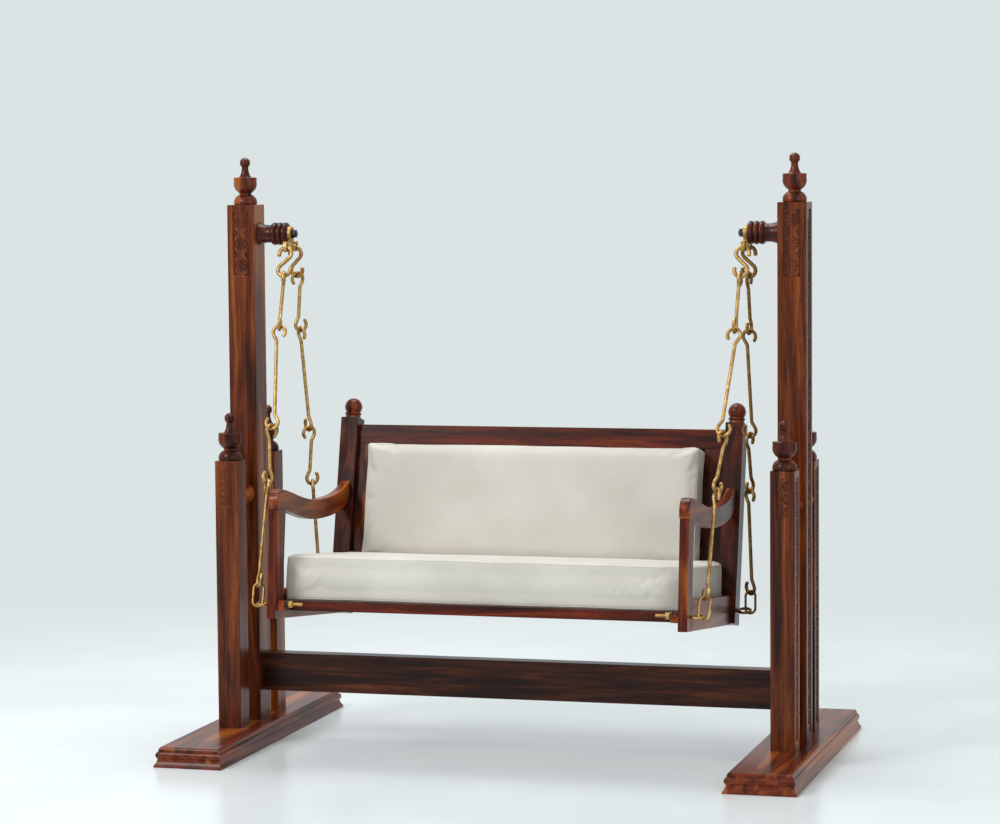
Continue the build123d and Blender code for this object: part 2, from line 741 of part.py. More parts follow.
# Back posts, raked about the rear eye bolts
with BuildPart() as back_post:
    with BuildSketch(back.offset(-back_post_bottom)):
        with Locations((back_post_inner, 0)):
            Rectangle(back_post_width, back_post_depth, align=(Align.MIN, Align.CENTER))
    extrude(amount=back_post_bottom + back_post_top)
    fillet(back_post.edges().filter_by(Axis(back.origin, back.z_dir)), post_edge)
    bolt_hole(back, back_post_inner, back_post_outer)
mirrored(back_post, "back_post")

# Turned balls on collars, on top of the back posts
with BuildPart() as ball_finial:
    turning_x = back_post_inner + back_post_width / 2
    turning_foot = back.from_local_coords((turning_x, 0, back_post_top))
    turning = Plane(turning_foot, x_dir=back.x_dir, z_dir=-back.y_dir)
    ball_z = ball_collar_height + ball_neck_height + sqrt(ball_radius**2 - ball_neck_radius**2)
    with BuildSketch(turning):
        with BuildLine():
            collar = Polyline(
                (0, 0),
                (ball_collar_radius, 0),
                (ball_collar_radius, ball_collar_height),
                (ball_neck_radius, ball_collar_height),
                (ball_neck_radius, ball_collar_height + ball_neck_height),
            )
            ball = ThreePointArc(collar @ 1, (ball_radius, ball_z), (0, ball_z + ball_radius))
            Line(ball @ 1, (0, 0))
        make_face()
    revolve(axis=Axis(turning.origin, turning.y_dir))
mirrored(ball_finial, "ball_finial")

# Framed back between the posts: rails, stiles and a panel let into their grooves
stile_bottom = low_rail_bottom + low_rail_height
top_rail_bottom = top_rail_top - top_rail_height
panel_side = back_post_inner - stile_width + panel_groove
rails = (("top_rail", top_rail_bottom, top_rail_height), ("low_rail", low_rail_bottom, low_rail_height))
for name, bottom, height in rails:
    with BuildPart() as rail:
        with BuildSketch(back.offset(bottom)):
            Rectangle(2 * back_post_inner, frame_thickness)
        extrude(amount=height)
        with BuildSketch(back.offset(stile_bottom - panel_groove - glue_line)):
            Rectangle(2 * (panel_side + glue_line), back_panel_thickness + 2 * glue_line)
        extrude(amount=top_rail_bottom - stile_bottom + 2 * (panel_groove + glue_line), mode=Mode.SUBTRACT)
    save(rail, name)

with BuildPart() as stile:
    with BuildSketch(back.offset(stile_bottom)):
        with Locations((back_post_inner, 0)):
            Rectangle(stile_width, frame_thickness, align=(Align.MAX, Align.CENTER))
        Rectangle(2 * (panel_side + glue_line), back_panel_thickness + 2 * glue_line, mode=Mode.SUBTRACT)
    extrude(amount=top_rail_bottom - stile_bottom)
mirrored(stile, "stile")

with BuildPart() as back_panel:
    with BuildSketch(back.offset(stile_bottom - panel_groove)):
        Rectangle(2 * panel_side, back_panel_thickness)
    extrude(amount=top_rail_bottom - stile_bottom + 2 * panel_groove)
save(back_panel, "back_panel")

# Loose cushions: one on the slats, one standing on it against the back
with BuildPart() as seat_pad:
    with BuildSketch(seat.offset(batten_top + face_gap)):
        with Locations((0, seat_pad_front)):
            Rectangle(2 * (board_inner - seat_pad_gap), seat_pad_depth, align=(Align.CENTER, Align.MIN))
    extrude(amount=seat_pad_height)
    fillet(seat_pad.edges(), pad_round)
save(seat_pad, "seat_pad")

with BuildPart() as back_pad:
    with BuildSketch(back):
        with Locations((0, -frame_thickness / 2 - face_gap)):
            back_pad_width = 2 * (back_post_inner - back_pad_gap)
            Rectangle(back_pad_width, back_pad_thickness, align=(Align.CENTER, Align.MAX))
    extrude(amount=back_pad_top)
    split(bisect_by=seat.offset(batten_top + 2 * face_gap + seat_pad_height), keep=Keep.TOP)
    fillet(back_pad.edges(), pad_round)
save(back_pad, "back_pad")
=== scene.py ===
import math

import bpy
from mathutils import Matrix, Vector, noise


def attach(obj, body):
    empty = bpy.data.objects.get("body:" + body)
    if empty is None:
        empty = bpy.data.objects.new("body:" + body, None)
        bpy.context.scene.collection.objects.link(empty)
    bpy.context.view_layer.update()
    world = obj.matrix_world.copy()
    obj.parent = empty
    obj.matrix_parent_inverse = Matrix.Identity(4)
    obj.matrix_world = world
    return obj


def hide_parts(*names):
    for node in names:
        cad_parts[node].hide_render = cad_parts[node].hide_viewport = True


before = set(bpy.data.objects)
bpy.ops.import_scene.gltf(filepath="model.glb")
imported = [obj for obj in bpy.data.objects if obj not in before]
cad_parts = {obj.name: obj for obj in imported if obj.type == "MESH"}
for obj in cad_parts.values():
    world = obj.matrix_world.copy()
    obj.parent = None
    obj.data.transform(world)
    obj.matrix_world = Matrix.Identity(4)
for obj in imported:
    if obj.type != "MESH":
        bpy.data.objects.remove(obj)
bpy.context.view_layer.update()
mm = 0.001


# Studio: a pale polished floor in an even white room, lit by large soft lamps from the left
# front, the right front and above, as a furniture photographer's daylight bay is.
def plain_colour(code):
    """Turns an sRGB hex colour to the linear one that a shader takes."""
    channels = [int(code[i : i + 2], 16) / 255 for i in (1, 3, 5)]
    return [c / 12.92 if c <= 0.04045 else ((c + 0.055) / 1.055) ** 2.4 for c in channels] + [1.0]


def add_node(tree, kind, settings=None, inputs=None, stops=()):
    """Adds a shader node with its settings; an input is a value, or another node's output to link."""
    made = tree.nodes.new("ShaderNode" + kind)
    for name, value in (settings or {}).items():
        setattr(made, name, value)
    for key, value in (inputs or {}).items():
        if isinstance(value, bpy.types.NodeSocket):
            tree.links.new(value, made.inputs[key])
        else:
            made.inputs[key].default_value = value
    for index, (place, colour) in enumerate(stops):
        element = made.color_ramp.elements[index] if index < 2 else made.color_ramp.elements.new(place)
        element.position = place
        element.color = plain_colour(colour) if isinstance(colour, str) else (colour, colour, colour, 1)
    return made


def new_finish(name):
    """Starts a material and gives it, its node tree and its shader."""
    finish = bpy.data.materials.new(name)
    finish.use_nodes = True
    return finish, finish.node_tree, finish.node_tree.nodes["Principled BSDF"]


# Polished pale tile: nearly white and even, with a soft reflection of what stands on it. Past the
# room's edge, from 1.5 to 4.5 m out, the eye sees only the room's own white.
room_white = "#DCE3E4"
edge_start, edge_end = 1.5, 4.5
floor_radius = 60
floor_finish, tree, shader = new_finish("polished_pale_tile")
place = add_node(tree, "TexCoord")
mottle = add_node(tree, "TexNoise", {}, {"Vector": place.outputs["Object"], "Scale": 1.6, "Detail": 3.0})
tile = add_node(tree, "ValToRGB", {}, {"Fac": mottle.outputs["Fac"]}, [(0.3, "#E3EAEC"), (0.7, "#EEF3F4")])
tree.links.new(tile.outputs["Color"], shader.inputs["Base Color"])
shader.inputs["Roughness"].default_value = 0.22
reach = add_node(tree, "VectorMath", {"operation": "LENGTH"}, {0: place.outputs["Object"]})
edge = add_node(tree, "MapRange", {"interpolation_type": "SMOOTHSTEP"}, {
    0: reach.outputs["Value"], 1: edge_start, 2: edge_end})
ray = add_node(tree, "LightPath")
far = add_node(tree, "Math", {"operation": "MULTIPLY"}, {0: edge.outputs[0], 1: ray.outputs["Is Camera Ray"]})
haze = add_node(tree, "Emission", {}, {"Color": plain_colour(room_white), "Strength": 1.0})
either = add_node(tree, "MixShader", {}, {0: far.outputs[0], 1: shader.outputs[0], 2: haze.outputs[0]})
tree.links.new(either.outputs[0], tree.nodes["Material Output"].inputs["Surface"])
bpy.ops.object.select_all(action="DESELECT")
bpy.ops.mesh.primitive_circle_add(vertices=96, radius=floor_radius, fill_type="NGON", location=(0, 0, 0))
floor = bpy.context.object
floor.name = "studio_floor"
floor.data.materials.append(floor_finish)

# The white room: its light on the object is 0.6 of the white that is seen and mirrored
room_light, room_seen = 0.6, 1.0
world = bpy.data.worlds.new("white_room")
bpy.context.scene.world = world
world.use_nodes = True
tree = world.node_tree
ray = add_node(tree, "LightPath")
seen = add_node(tree, "Math", {"operation": "MAXIMUM"}, {
    0: ray.outputs["Is Camera Ray"], 1: ray.outputs["Is Glossy Ray"]})
seen = add_node(tree, "Math", {"operation": "MAXIMUM"}, {
    0: seen.outputs[0], 1: ray.outputs["Is Transmission Ray"]})
strength = add_node(tree, "MapRange", {}, {0: seen.outputs[0], 3: room_light, 4: room_seen})
room = tree.nodes["Background"]
room.inputs["Color"].default_value = plain_colour(room_white)
tree.links.new(strength.outputs[0], room.inputs["Strength"])

# The lamps: name, place and aim in metres, size and watts
for name, place, aim, size, watts in (
    ("key", (-3.4, -4.6, 4.4), (0, 0, 0.8), 2.2, 230),
    ("fill", (4.4, -3.4, 2.4), (0, 0, 0.9), 2.8, 60),
    ("top", (-0.6, 0.8, 4.6), (0, 0, 0.5), 2.4, 120),
):
    turn = (Vector(aim) - Vector(place)).to_track_quat("-Z", "Y").to_euler()
    bpy.ops.object.light_add(type="AREA", radius=size, location=place, rotation=turn)
    bpy.context.object.name = name + "_lamp"
    bpy.context.object.data.energy = watts


# Camera: a long lens, 9 m off, from the right and at the height of a standing eye. It looks down by
# four and a half degrees and is level but for half a degree.
camera_place = (2.3866, -8.6324, 1.6672)
camera_heading, camera_dip, camera_roll = 15.731, 4.4425, -0.4828
turn = Matrix.Rotation(math.radians(camera_heading), 4, "Z")
turn = turn @ Matrix.Rotation(math.radians(90 - camera_dip), 4, "X")
turn = turn @ Matrix.Rotation(math.radians(camera_roll), 4, "Z")
bpy.ops.object.camera_add(location=camera_place, rotation=turn.to_euler())
camera = bpy.context.object
camera.data.lens = 112.79
camera.data.sensor_width = 36
bpy.context.scene.camera = camera
bpy.context.scene.view_settings.view_transform = "Standard"


# Boards of the stand: sheesham, Indian rosewood, planed, stained red-brown and lacquered. Each
# arris is eased with sandpaper before the lacquer goes on.
def sheesham(name, along, shift=0.0, tones=("#301408", "#5A2610", "#723618", "#8E4C20"), sapwood=0.58):
    """Makes lacquered sheesham whose grain runs along one axis: red-brown figure, near-black
    streaks, an orange flash of sapwood, fine pores, and a clear gloss over all of it. A colour
    Mix node takes its share at input 0 and its colours at 6 and 7, and gives the result at 2."""
    finish, tree, shader = new_finish(name)
    place = add_node(tree, "TexCoord")
    # along the grain the figure is drawn out to 17 times its width
    scale = [1.0, 1.0, 1.0]
    scale["xyz".index(along)] = 0.06
    grain = add_node(tree, "Mapping", {}, {
        0: place.outputs["Object"], "Location": (shift, shift, shift), "Scale": scale})
    # figure lines 6 to 25 mm wide
    figure = add_node(tree, "TexNoise", {}, {
        "Vector": grain.outputs[0], "Scale": 40.0, "Detail": 7.0, "Roughness": 0.64, "Distortion": 0.6})
    colour = add_node(tree, "ValToRGB", {}, {"Fac": figure.outputs["Fac"]}, [
        *zip((0.36, 0.47, 0.56, 0.68), tones)])
    # heartwood streaks about 30 mm wide and sapwood flashes about 60 mm wide
    heart = add_node(tree, "TexNoise", {}, {
        "Vector": grain.outputs[0], "Scale": 19.0, "Detail": 5.0, "Roughness": 0.55, "Distortion": 0.9})
    heart_mask = add_node(tree, "ValToRGB", {}, {"Fac": heart.outputs["Fac"]}, [(0.52, 0.0), (0.64, 0.85)])
    darker = add_node(tree, "Mix", {"data_type": "RGBA"}, {
        0: heart_mask.outputs[0], 6: colour.outputs[0], 7: plain_colour("#1D0C07")})
    sap = add_node(tree, "TexNoise", {"noise_dimensions": "4D"}, {
        "Vector": grain.outputs[0], "W": 3.1, "Scale": 11.0, "Detail": 2.0})
    sap_mask = add_node(tree, "ValToRGB", {}, {"Fac": sap.outputs["Fac"]}, [
        (sapwood - 0.015, 0.0), (sapwood + 0.02, 0.8)])
    lighter = add_node(tree, "Mix", {"data_type": "RGBA"}, {
        0: sap_mask.outputs[0], 6: darker.outputs[2], 7: plain_colour("#A65A20")})
    # pores, drawn 1.5 mm wide so that they show
    pores = add_node(tree, "TexNoise", {}, {"Vector": grain.outputs[0], "Scale": 620.0, "Detail": 2.0})
    pore_mask = add_node(tree, "ValToRGB", {}, {"Fac": pores.outputs["Fac"]}, [(0.38, 0.75), (0.52, 1.0)])
    final = add_node(tree, "Mix", {"data_type": "RGBA", "blend_type": "MULTIPLY"}, {
        0: 1.0, 6: lighter.outputs[2], 7: pore_mask.outputs[0]})
    relief = add_node(tree, "Bump", {}, {"Height": pores.outputs["Fac"], "Strength": 0.03, "Distance": 0.001})
    tree.links.new(final.outputs[2], shader.inputs["Base Color"])
    tree.links.new(relief.outputs[0], shader.inputs["Normal"])
    shader.inputs["Roughness"].default_value = 0.3
    shader.inputs["Specular IOR Level"].default_value = 0.16
    shader.inputs["Coat Weight"].default_value = 0.07
    shader.inputs["Coat Roughness"].default_value = 0.08
    return finish


def take_up(piece):
    """Makes one object the active and only selected one."""
    bpy.ops.object.select_all(action="DESELECT")
    bpy.context.view_layer.objects.active = piece
    piece.select_set(True)


def joined(name, pieces):
    """Joins pieces to one, with its place in its mesh."""
    take_up(pieces[0])
    for piece in pieces:
        piece.select_set(True)
    bpy.ops.object.join()
    pieces[0].name = name
    bpy.ops.object.transform_apply(location=True, rotation=True, scale=True)
    return pieces[0]


def hand_over(piece, body, slot, finish, *nodes):
    """Gives a finished piece its material and its body, and hides the CAD nodes that it stands for. The slot
    is not used.
    """
    piece.data.materials.clear()
    piece.data.materials.append(finish)
    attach(piece, body)
    if nodes:
        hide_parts(*nodes)
    return piece


def dressed(node, body, slot, finish, width=1.2, segments=2):
    """Copies a CAD piece, eases its arrises by a width in mm and gives it its finish."""
    piece = bpy.data.objects.new(node + "_dressed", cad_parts[node].data.copy())
    bpy.context.scene.collection.objects.link(piece)
    take_up(piece)
    bpy.ops.object.mode_set(mode="EDIT")
    bpy.ops.mesh.select_all(action="SELECT")
    bpy.ops.mesh.remove_doubles(threshold=0.000002)
    bpy.ops.mesh.dissolve_limited(angle_limit=math.radians(0.5))
    bpy.ops.object.mode_set(mode="OBJECT")
    if piece.data.has_custom_normals:
        bpy.ops.mesh.customdata_custom_splitnormals_clear()
    eased = piece.modifiers.new("arris", "BEVEL")
    eased.width, eased.segments = width * mm, segments
    eased.limit_method, eased.angle_limit = "ANGLE", math.radians(40)
    bpy.ops.object.modifier_apply(modifier="arris")
    bpy.ops.object.shade_smooth_by_angle(angle=math.radians(32))
    flat = piece.modifiers.new("flat", "WEIGHTED_NORMAL")
    flat.keep_sharp = True
    bpy.ops.object.modifier_apply(modifier="flat")
    return hand_over(piece, body, slot, finish, node)


sides = (("left", -1), ("right", 1))
plinth_tones = ("#42170A", "#662611", "#7A3518", "#8C4620")
long_boards = sheesham("lacquered_sheesham_plinth", "y", tones=plinth_tones, sapwood=0.58)
post_wood = sheesham("lacquered_sheesham_post", "z")
# the stretcher's tones are its own grain drawn darker with painted shade, for the shade that it stands in
stretcher_tones_and_shade = ("#28110A", "#3E1B0F", "#582914", "#76401E")
stretcher_wood_and_shade = sheesham("lacquered_sheesham_stretcher_and_painted_shade", "x", 0.37, stretcher_tones_and_shade, 0.63)
for side, _ in sides:
    dressed(side + "_plinth", "stand", "rosewood", long_boards)
    for place in ("tall", "front", "rear"):
        dressed(f"{side}_{place}_post", "stand", "rosewood", post_wood)
dressed("stretcher", "stand", "rosewood", stretcher_wood_and_shade)


# Turned work in the same wood: finials doweled into the posts, drums between the posts and the
# pegs that carry the seat, each turned on a lathe from one blank and polished there.
def placing(origin, normal, across):
    """Gives the matrix that lays a piece's X along across and its Z along normal, at a place in mm."""
    normal, across = Vector(normal).normalized(), Vector(across).normalized()
    turn = Matrix((across, normal.cross(across), normal)).transposed().to_4x4()
    return Matrix.Translation(Vector(origin) * mm) @ turn


def settle(piece, matrix):
    """Moves a piece to its place and puts the place in its mesh."""
    piece.matrix_world = matrix @ piece.matrix_world
    take_up(piece)
    bpy.ops.object.transform_apply(location=True, rotation=True, scale=True)
    return piece


def copied(piece, name, matrix):
    """Copies a piece with its own mesh and settles the copy."""
    copy = bpy.data.objects.new(name, piece.data.copy())
    bpy.context.scene.collection.objects.link(copy)
    return settle(copy, matrix)


def swell(start, end, bulge, steps=7):
    """Gives the points of a turned curve after its start; a positive bulge stands out from the axis."""
    (r0, z0), (r1, z1) = start, end
    length = math.hypot(r1 - r0, z1 - z0)
    middle = ((r0 + r1) / 2 + 2 * bulge * (z1 - z0) / length, (z0 + z1) / 2 - 2 * bulge * (r1 - r0) / length)
    points = []
    for step in range(1, steps + 1):
        t = step / steps
        points.append(tuple(
            (1 - t) ** 2 * a + 2 * t * (1 - t) * b + t * t * c for a, b, c in zip(start, middle, end)))
    return points


def turned(name, profile, around=40):
    """Turns a piece about Z from (radius, height) pairs in mm: a ring, extruded and scaled up the piece."""
    bpy.ops.object.select_all(action="DESELECT")
    bpy.ops.mesh.primitive_circle_add(vertices=around, radius=profile[0][0] * mm, location=(0, 0, 0))
    piece = bpy.context.object
    piece.name = name
    bpy.ops.object.mode_set(mode="EDIT")
    bpy.ops.mesh.select_all(action="SELECT")
    bpy.ops.transform.translate(value=(0, 0, profile[0][1] * mm))
    for (radius, height), (wider, higher) in zip(profile, profile[1:]):
        bpy.ops.mesh.extrude_edges_move(TRANSFORM_OT_translate={"value": (0, 0, (higher - height) * mm)})
        bpy.ops.transform.resize(value=(wider / radius, wider / radius, 1))
    bpy.ops.mesh.select_all(action="SELECT")
    bpy.ops.mesh.fill_holes(sides=0)
    bpy.ops.mesh.normals_make_consistent(inside=False)
    bpy.ops.object.mode_set(mode="OBJECT")
    bpy.ops.object.shade_smooth_by_angle(angle=math.radians(38))
    return piece


finial = turned("finial", [
    (31, 0), (33.5, 2), (34, 5), *swell((34, 5), (21, 28), 4),
    (18.2, 29), (17.6, 32), (18.2, 34.5), (20, 35.5),
    *swell((20, 35.5), (33.2, 68), 5.5), (33.6, 76), (33.4, 78.4), (32.4, 79.2), (19, 79.8),
    *swell((17.6, 80), (9.8, 109.5), -2.2), *swell((10.6, 111.4), (14.6, 122), 2, 5),
    *swell((14.6, 122), (10.4, 132.6), 2, 5), *swell((10.4, 132.6), (0.6, 136.8), 1.3, 4)])
drum = turned("drum", [(31, 0.2), (32, 1.2), *swell((32, 1.2), (32, 74.8), -4, 10), (31, 75.8)])
peg = turned("peg", [
    (30, 0.2), (32, 1.5), (32, 5), *swell((32, 5), (26, 39), -2.6), (25.6, 42),
    *[point for foot in (42, 58, 74) for point in (
        *swell((26.5, foot), (33, foot + 8), 2.2, 4), *swell((33, foot + 8), (26.5, foot + 16), 2.2, 4))],
    (25, 89.9)])
turned_tones = ("#32110A", "#5A2110", "#743216", "#8C441E")
turned_wood = sheesham("lacquered_sheesham_turned", "z", 0.8, turned_tones, 0.58)
peg_wood = sheesham("lacquered_sheesham_peg", "x", 1.7, ("#260D08", "#3E160C", "#501E10", "#622A16"), 0.75)
drum_wood = sheesham("lacquered_sheesham_drum", "y", 2.3, ("#46180B", "#762A10", "#943C17", "#A85020"), 0.55)

# Places in mm: the middle of a stand, the short posts before and behind the tall one, the posts'
# tops, the drums' feet and height, and the pegs' feet and the line that the seat swings about
stand_x, post_gap = 812, 158
tall_top, short_top = 1568, 833
drum_foot, drum_height = 46, 727
peg_foot, pivot_height = 771, 1483
for side, hand in sides:
    tops = (("tall", 0, tall_top), ("front", -post_gap, short_top), ("rear", post_gap, short_top))
    for place, y, top in tops:
        foot = (hand * stand_x, y, top)
        copy = copied(finial, f"{side}_{place}_finial_turned", placing(foot, (0, 0, 1), (1, 0, 0)))
        hand_over(copy, "stand", "rosewood", turned_wood, f"{side}_{place}_finial")
    for place, way in (("front", -1), ("rear", 1)):
        foot = (hand * stand_x, way * drum_foot, drum_height)
        copy = copied(drum, f"{side}_{place}_drum", placing(foot, (0, way, 0), (0, 0, 1)))
        hand_over(copy, "stand", "rosewood", drum_wood, side + "_spacers")
    foot = (hand * peg_foot, 0, pivot_height)
    copy = copied(peg, side + "_peg_turned", placing(foot, (-hand, 0, 0), (0, 1, 0)))
    hand_over(copy, "stand", "rosewood", peg_wood, side + "_peg")
for piece in (finial, drum, peg):
    bpy.data.objects.remove(piece)


# Hangings: brass rods of round bar, bent cold to S-hooks and double-hooked rods with sawn and filed
# ends, hooked one in the next from a cast hanger down to an oval ring in each eye bolt.
def wire(name, thickness, place, heading, moves, closed=False, around=12):
    """Bends a round bar in XY, from its place in mm and its heading in degrees. A move is a run's
    length, or a bend's radius and its turn to the left. A bend has a ring of points each 14 degrees."""
    bpy.ops.object.select_all(action="DESELECT")
    spot = Vector((*place, 0))
    bpy.ops.mesh.primitive_circle_add(vertices=around, radius=thickness / 2 * mm, location=spot * mm,
                                      rotation=(math.pi / 2, 0, math.radians(heading - 90)))
    piece = bpy.context.object
    piece.name = name
    bpy.ops.object.transform_apply(location=True, rotation=True, scale=True)
    bpy.ops.object.mode_set(mode="EDIT")
    bpy.ops.mesh.select_all(action="SELECT")
    for move in moves:
        ahead = Vector((math.cos(math.radians(heading)), math.sin(math.radians(heading)), 0))
        if isinstance(move, tuple):
            radius, bend = move
            centre = spot + Vector((-ahead.y, ahead.x, 0)) * math.copysign(radius, bend)
            bpy.ops.mesh.spin(steps=max(2, round(abs(bend) / 14)), angle=-math.radians(bend),
                              center=centre * mm, axis=(0, 0, 1))
            spot = centre + Matrix.Rotation(math.radians(bend), 3, "Z") @ (spot - centre)
            heading += bend
        else:
            bpy.ops.mesh.extrude_edges_move(TRANSFORM_OT_translate={"value": ahead * move * mm})
            spot += ahead * move
    bpy.ops.mesh.select_all(action="SELECT")
    if closed:
        bpy.ops.mesh.remove_doubles(threshold=0.0002)
    else:
        bpy.ops.mesh.fill_holes(sides=0)
        bpy.ops.mesh.select_all(action="DESELECT")
        bpy.ops.mesh.select_face_by_sides(number=around, type="EQUAL", extend=False)
        bpy.ops.mesh.bevel(offset=thickness * 0.22 * mm, segments=3, affect="EDGES")
        bpy.ops.mesh.select_all(action="SELECT")
    bpy.ops.mesh.normals_make_consistent(inside=False)
    bpy.ops.object.mode_set(mode="OBJECT")
    bpy.ops.object.shade_smooth_by_angle(angle=math.radians(50))
    return piece


def aged_brass(name, tones, roughness):
    """Makes brass that was bent, filed and left to dull: a warm satin metal with a patchy bloom."""
    finish, tree, shader = new_finish(name)
    place = add_node(tree, "TexCoord")
    # patches of bloom about 17 mm wide
    bloom = add_node(tree, "TexNoise", {}, {
        "Vector": place.outputs["Object"], "Scale": 60.0, "Detail": 5.0, "Roughness": 0.6})
    tone = add_node(tree, "ValToRGB", {}, {"Fac": bloom.outputs["Fac"]}, list(zip((0.32, 0.5, 0.68), tones)))
    # hammer and file marks 3 mm apart
    marks = add_node(tree, "TexNoise", {}, {"Vector": place.outputs["Object"], "Scale": 330.0, "Detail": 2.0})
    relief = add_node(tree, "Bump", {}, {"Height": marks.outputs["Fac"], "Strength": 0.12, "Distance": 0.001})
    tree.links.new(tone.outputs[0], shader.inputs["Base Color"])
    tree.links.new(relief.outputs[0], shader.inputs["Normal"])
    shader.inputs["Metallic"].default_value = 1.0
    shader.inputs["Roughness"].default_value = roughness
    return finish


brass = aged_brass("satin_brass", ("#8C6B3E", "#AD8850", "#C6A671"), 0.46)
# the same brass drawn darker for the right rear hanging, which is painted shade
shaded_brass = aged_brass("brass_in_painted_shade", ("#644C28", "#866638", "#A3814C"), 0.48)

# The S-hook: two bends of one radius with a straight run between them and a short tip at each end
s_radius, s_turn, s_run, s_tip = 18.5, 227.73, 33.63, 8
s_hook = wire("s_hook", 11.6, (s_radius, 17), 90, [
    s_tip, (s_radius, s_turn), s_run, (s_radius, -s_turn), s_tip])

# The rods, short and long: an open hook at each end, the lower one turned over, and a shank that
# crosses the middle line between two easy bends
hook_radius, hook_turn, lead_angle = 18.25, 260, 32
shank_offset, easy_radius = 6, 12
mouth = hook_turn - 180 - lead_angle
lead_cos, lead_sin = math.cos(math.radians(lead_angle)), math.sin(math.radians(lead_angle))
rods = []
for span in (172.5, 308.0):
    half = span / 2 - hook_radius
    lead_across = hook_radius * lead_cos - shank_offset
    neck_y = half - hook_radius * lead_sin - lead_across / math.tan(math.radians(lead_angle))
    slope = math.degrees(math.atan2(shank_offset, neck_y))
    lead = lead_across / lead_sin
    ease = easy_radius * math.tan(math.radians((lead_angle - slope) / 2))
    start = (hook_radius * math.cos(math.radians(mouth)), half - hook_radius * math.sin(math.radians(mouth)))
    shank_run = 2 * (math.hypot(shank_offset, neck_y) - ease)
    easy_bend = lead_angle - slope
    rods.append(wire("rod", 10.2, start, 90 - mouth, [
        (hook_radius, hook_turn), lead - ease, (easy_radius, -easy_bend), shank_run, (easy_radius, easy_bend),
        lead - ease, (hook_radius, -hook_turn)]))

# The oval ring, welded shut, and the eye bolt: a shank and an eye
ring_radius, ring_run = 14.75, 37
ring = wire("ring", 7, (-ring_radius, ring_run / 2), -90, [
    ring_run, (ring_radius, 180), ring_run, (ring_radius, 180)], closed=True)
eye_radius, eye_wire = 17, 8.4
shank = wire("eye_bolt", 10, (-116, 0), 0, [101])
bpy.ops.mesh.primitive_torus_add(major_segments=36, minor_segments=12, major_radius=eye_radius * mm,
                                 minor_radius=eye_wire / 2 * mm)
eye = bpy.context.object
take_up(eye)
bpy.ops.object.shade_smooth()
shank.select_set(True)
bpy.ops.object.join()
eye.name = "eye_bolt"

# One hanging, from the top: each link, its name, its length and how far its top is below the lobe
links = (
    (s_hook, "s_hook", 87, 0), (rods[0], "rod_1", 172.5, 76.45), (rods[1], "rod_2", 308, 239.15),
    (rods[0], "rod_3", 172.5, 537.34), (rods[1], "rod_4", 308, 700.0), (ring, "ring", 66.5, 999.74))
# How many degrees each link is turned about the line it hangs in
turns = {
    ("left", "front"): (0, 105, 180, 245, 305, 5),
    ("left", "rear"): (-10, 52, 138, 46, 110, 25),
    ("right", "front"): (0, 90, 180, 245, 305, 10),
    ("right", "rear"): (0, 82, -6, 70, -40, 30),
}
# The eyes' middles in mm and their roll in degrees, and the places on a hanger that links hang from
eyes = {"front": (621.3, -418, 456.6, 5), "rear": (634.8, 166.564, 393.122, 14)}
hanger_x, lobe_y, lobe_height, hook_top = 674.6, 40, 1444.5, 1443.77
for side, hand in sides:
    for end, way in (("front", -1), ("rear", 1)):
        x, y, z, roll = eyes[end]
        # the right rear hanging takes the darker brass, which is painted shade
        metal = shaded_brass if (side, end) == ("right", "rear") else brass
        roll = math.radians(roll)
        level = (0, -math.sin(roll), math.cos(roll))
        copy = copied(eye, f"{side}_{end}_eye_bolt", placing((hand * x, y, z), level, (hand, 0, 0)))
        hand_over(copy, "swing", "brass", metal, side + "_eye_bolts")
        top = Vector((hand * hanger_x, way * lobe_y, hook_top))
        up = (top - Vector((hand * (x + eye_radius), y, z))).normalized()
        outward = Vector((hand, 0, 0))
        outward = (outward - up * outward.dot(up)).normalized()
        for (piece, word, span, start), bend in zip(links, turns[side, end]):
            across = Matrix.Rotation(math.radians(bend), 3, up) @ outward
            middle = top - up * (start + span / 2)
            copy = copied(piece, f"{side}_{end}_{word}", placing(middle, across.cross(up), across))
            node = f"{side}_{end}_rods" if word.startswith("rod") else f"{side}_{word}s"
            hand_over(copy, "swing", "brass", metal, node)
for piece in (s_hook, *rods, ring, eye):
    bpy.data.objects.remove(piece)


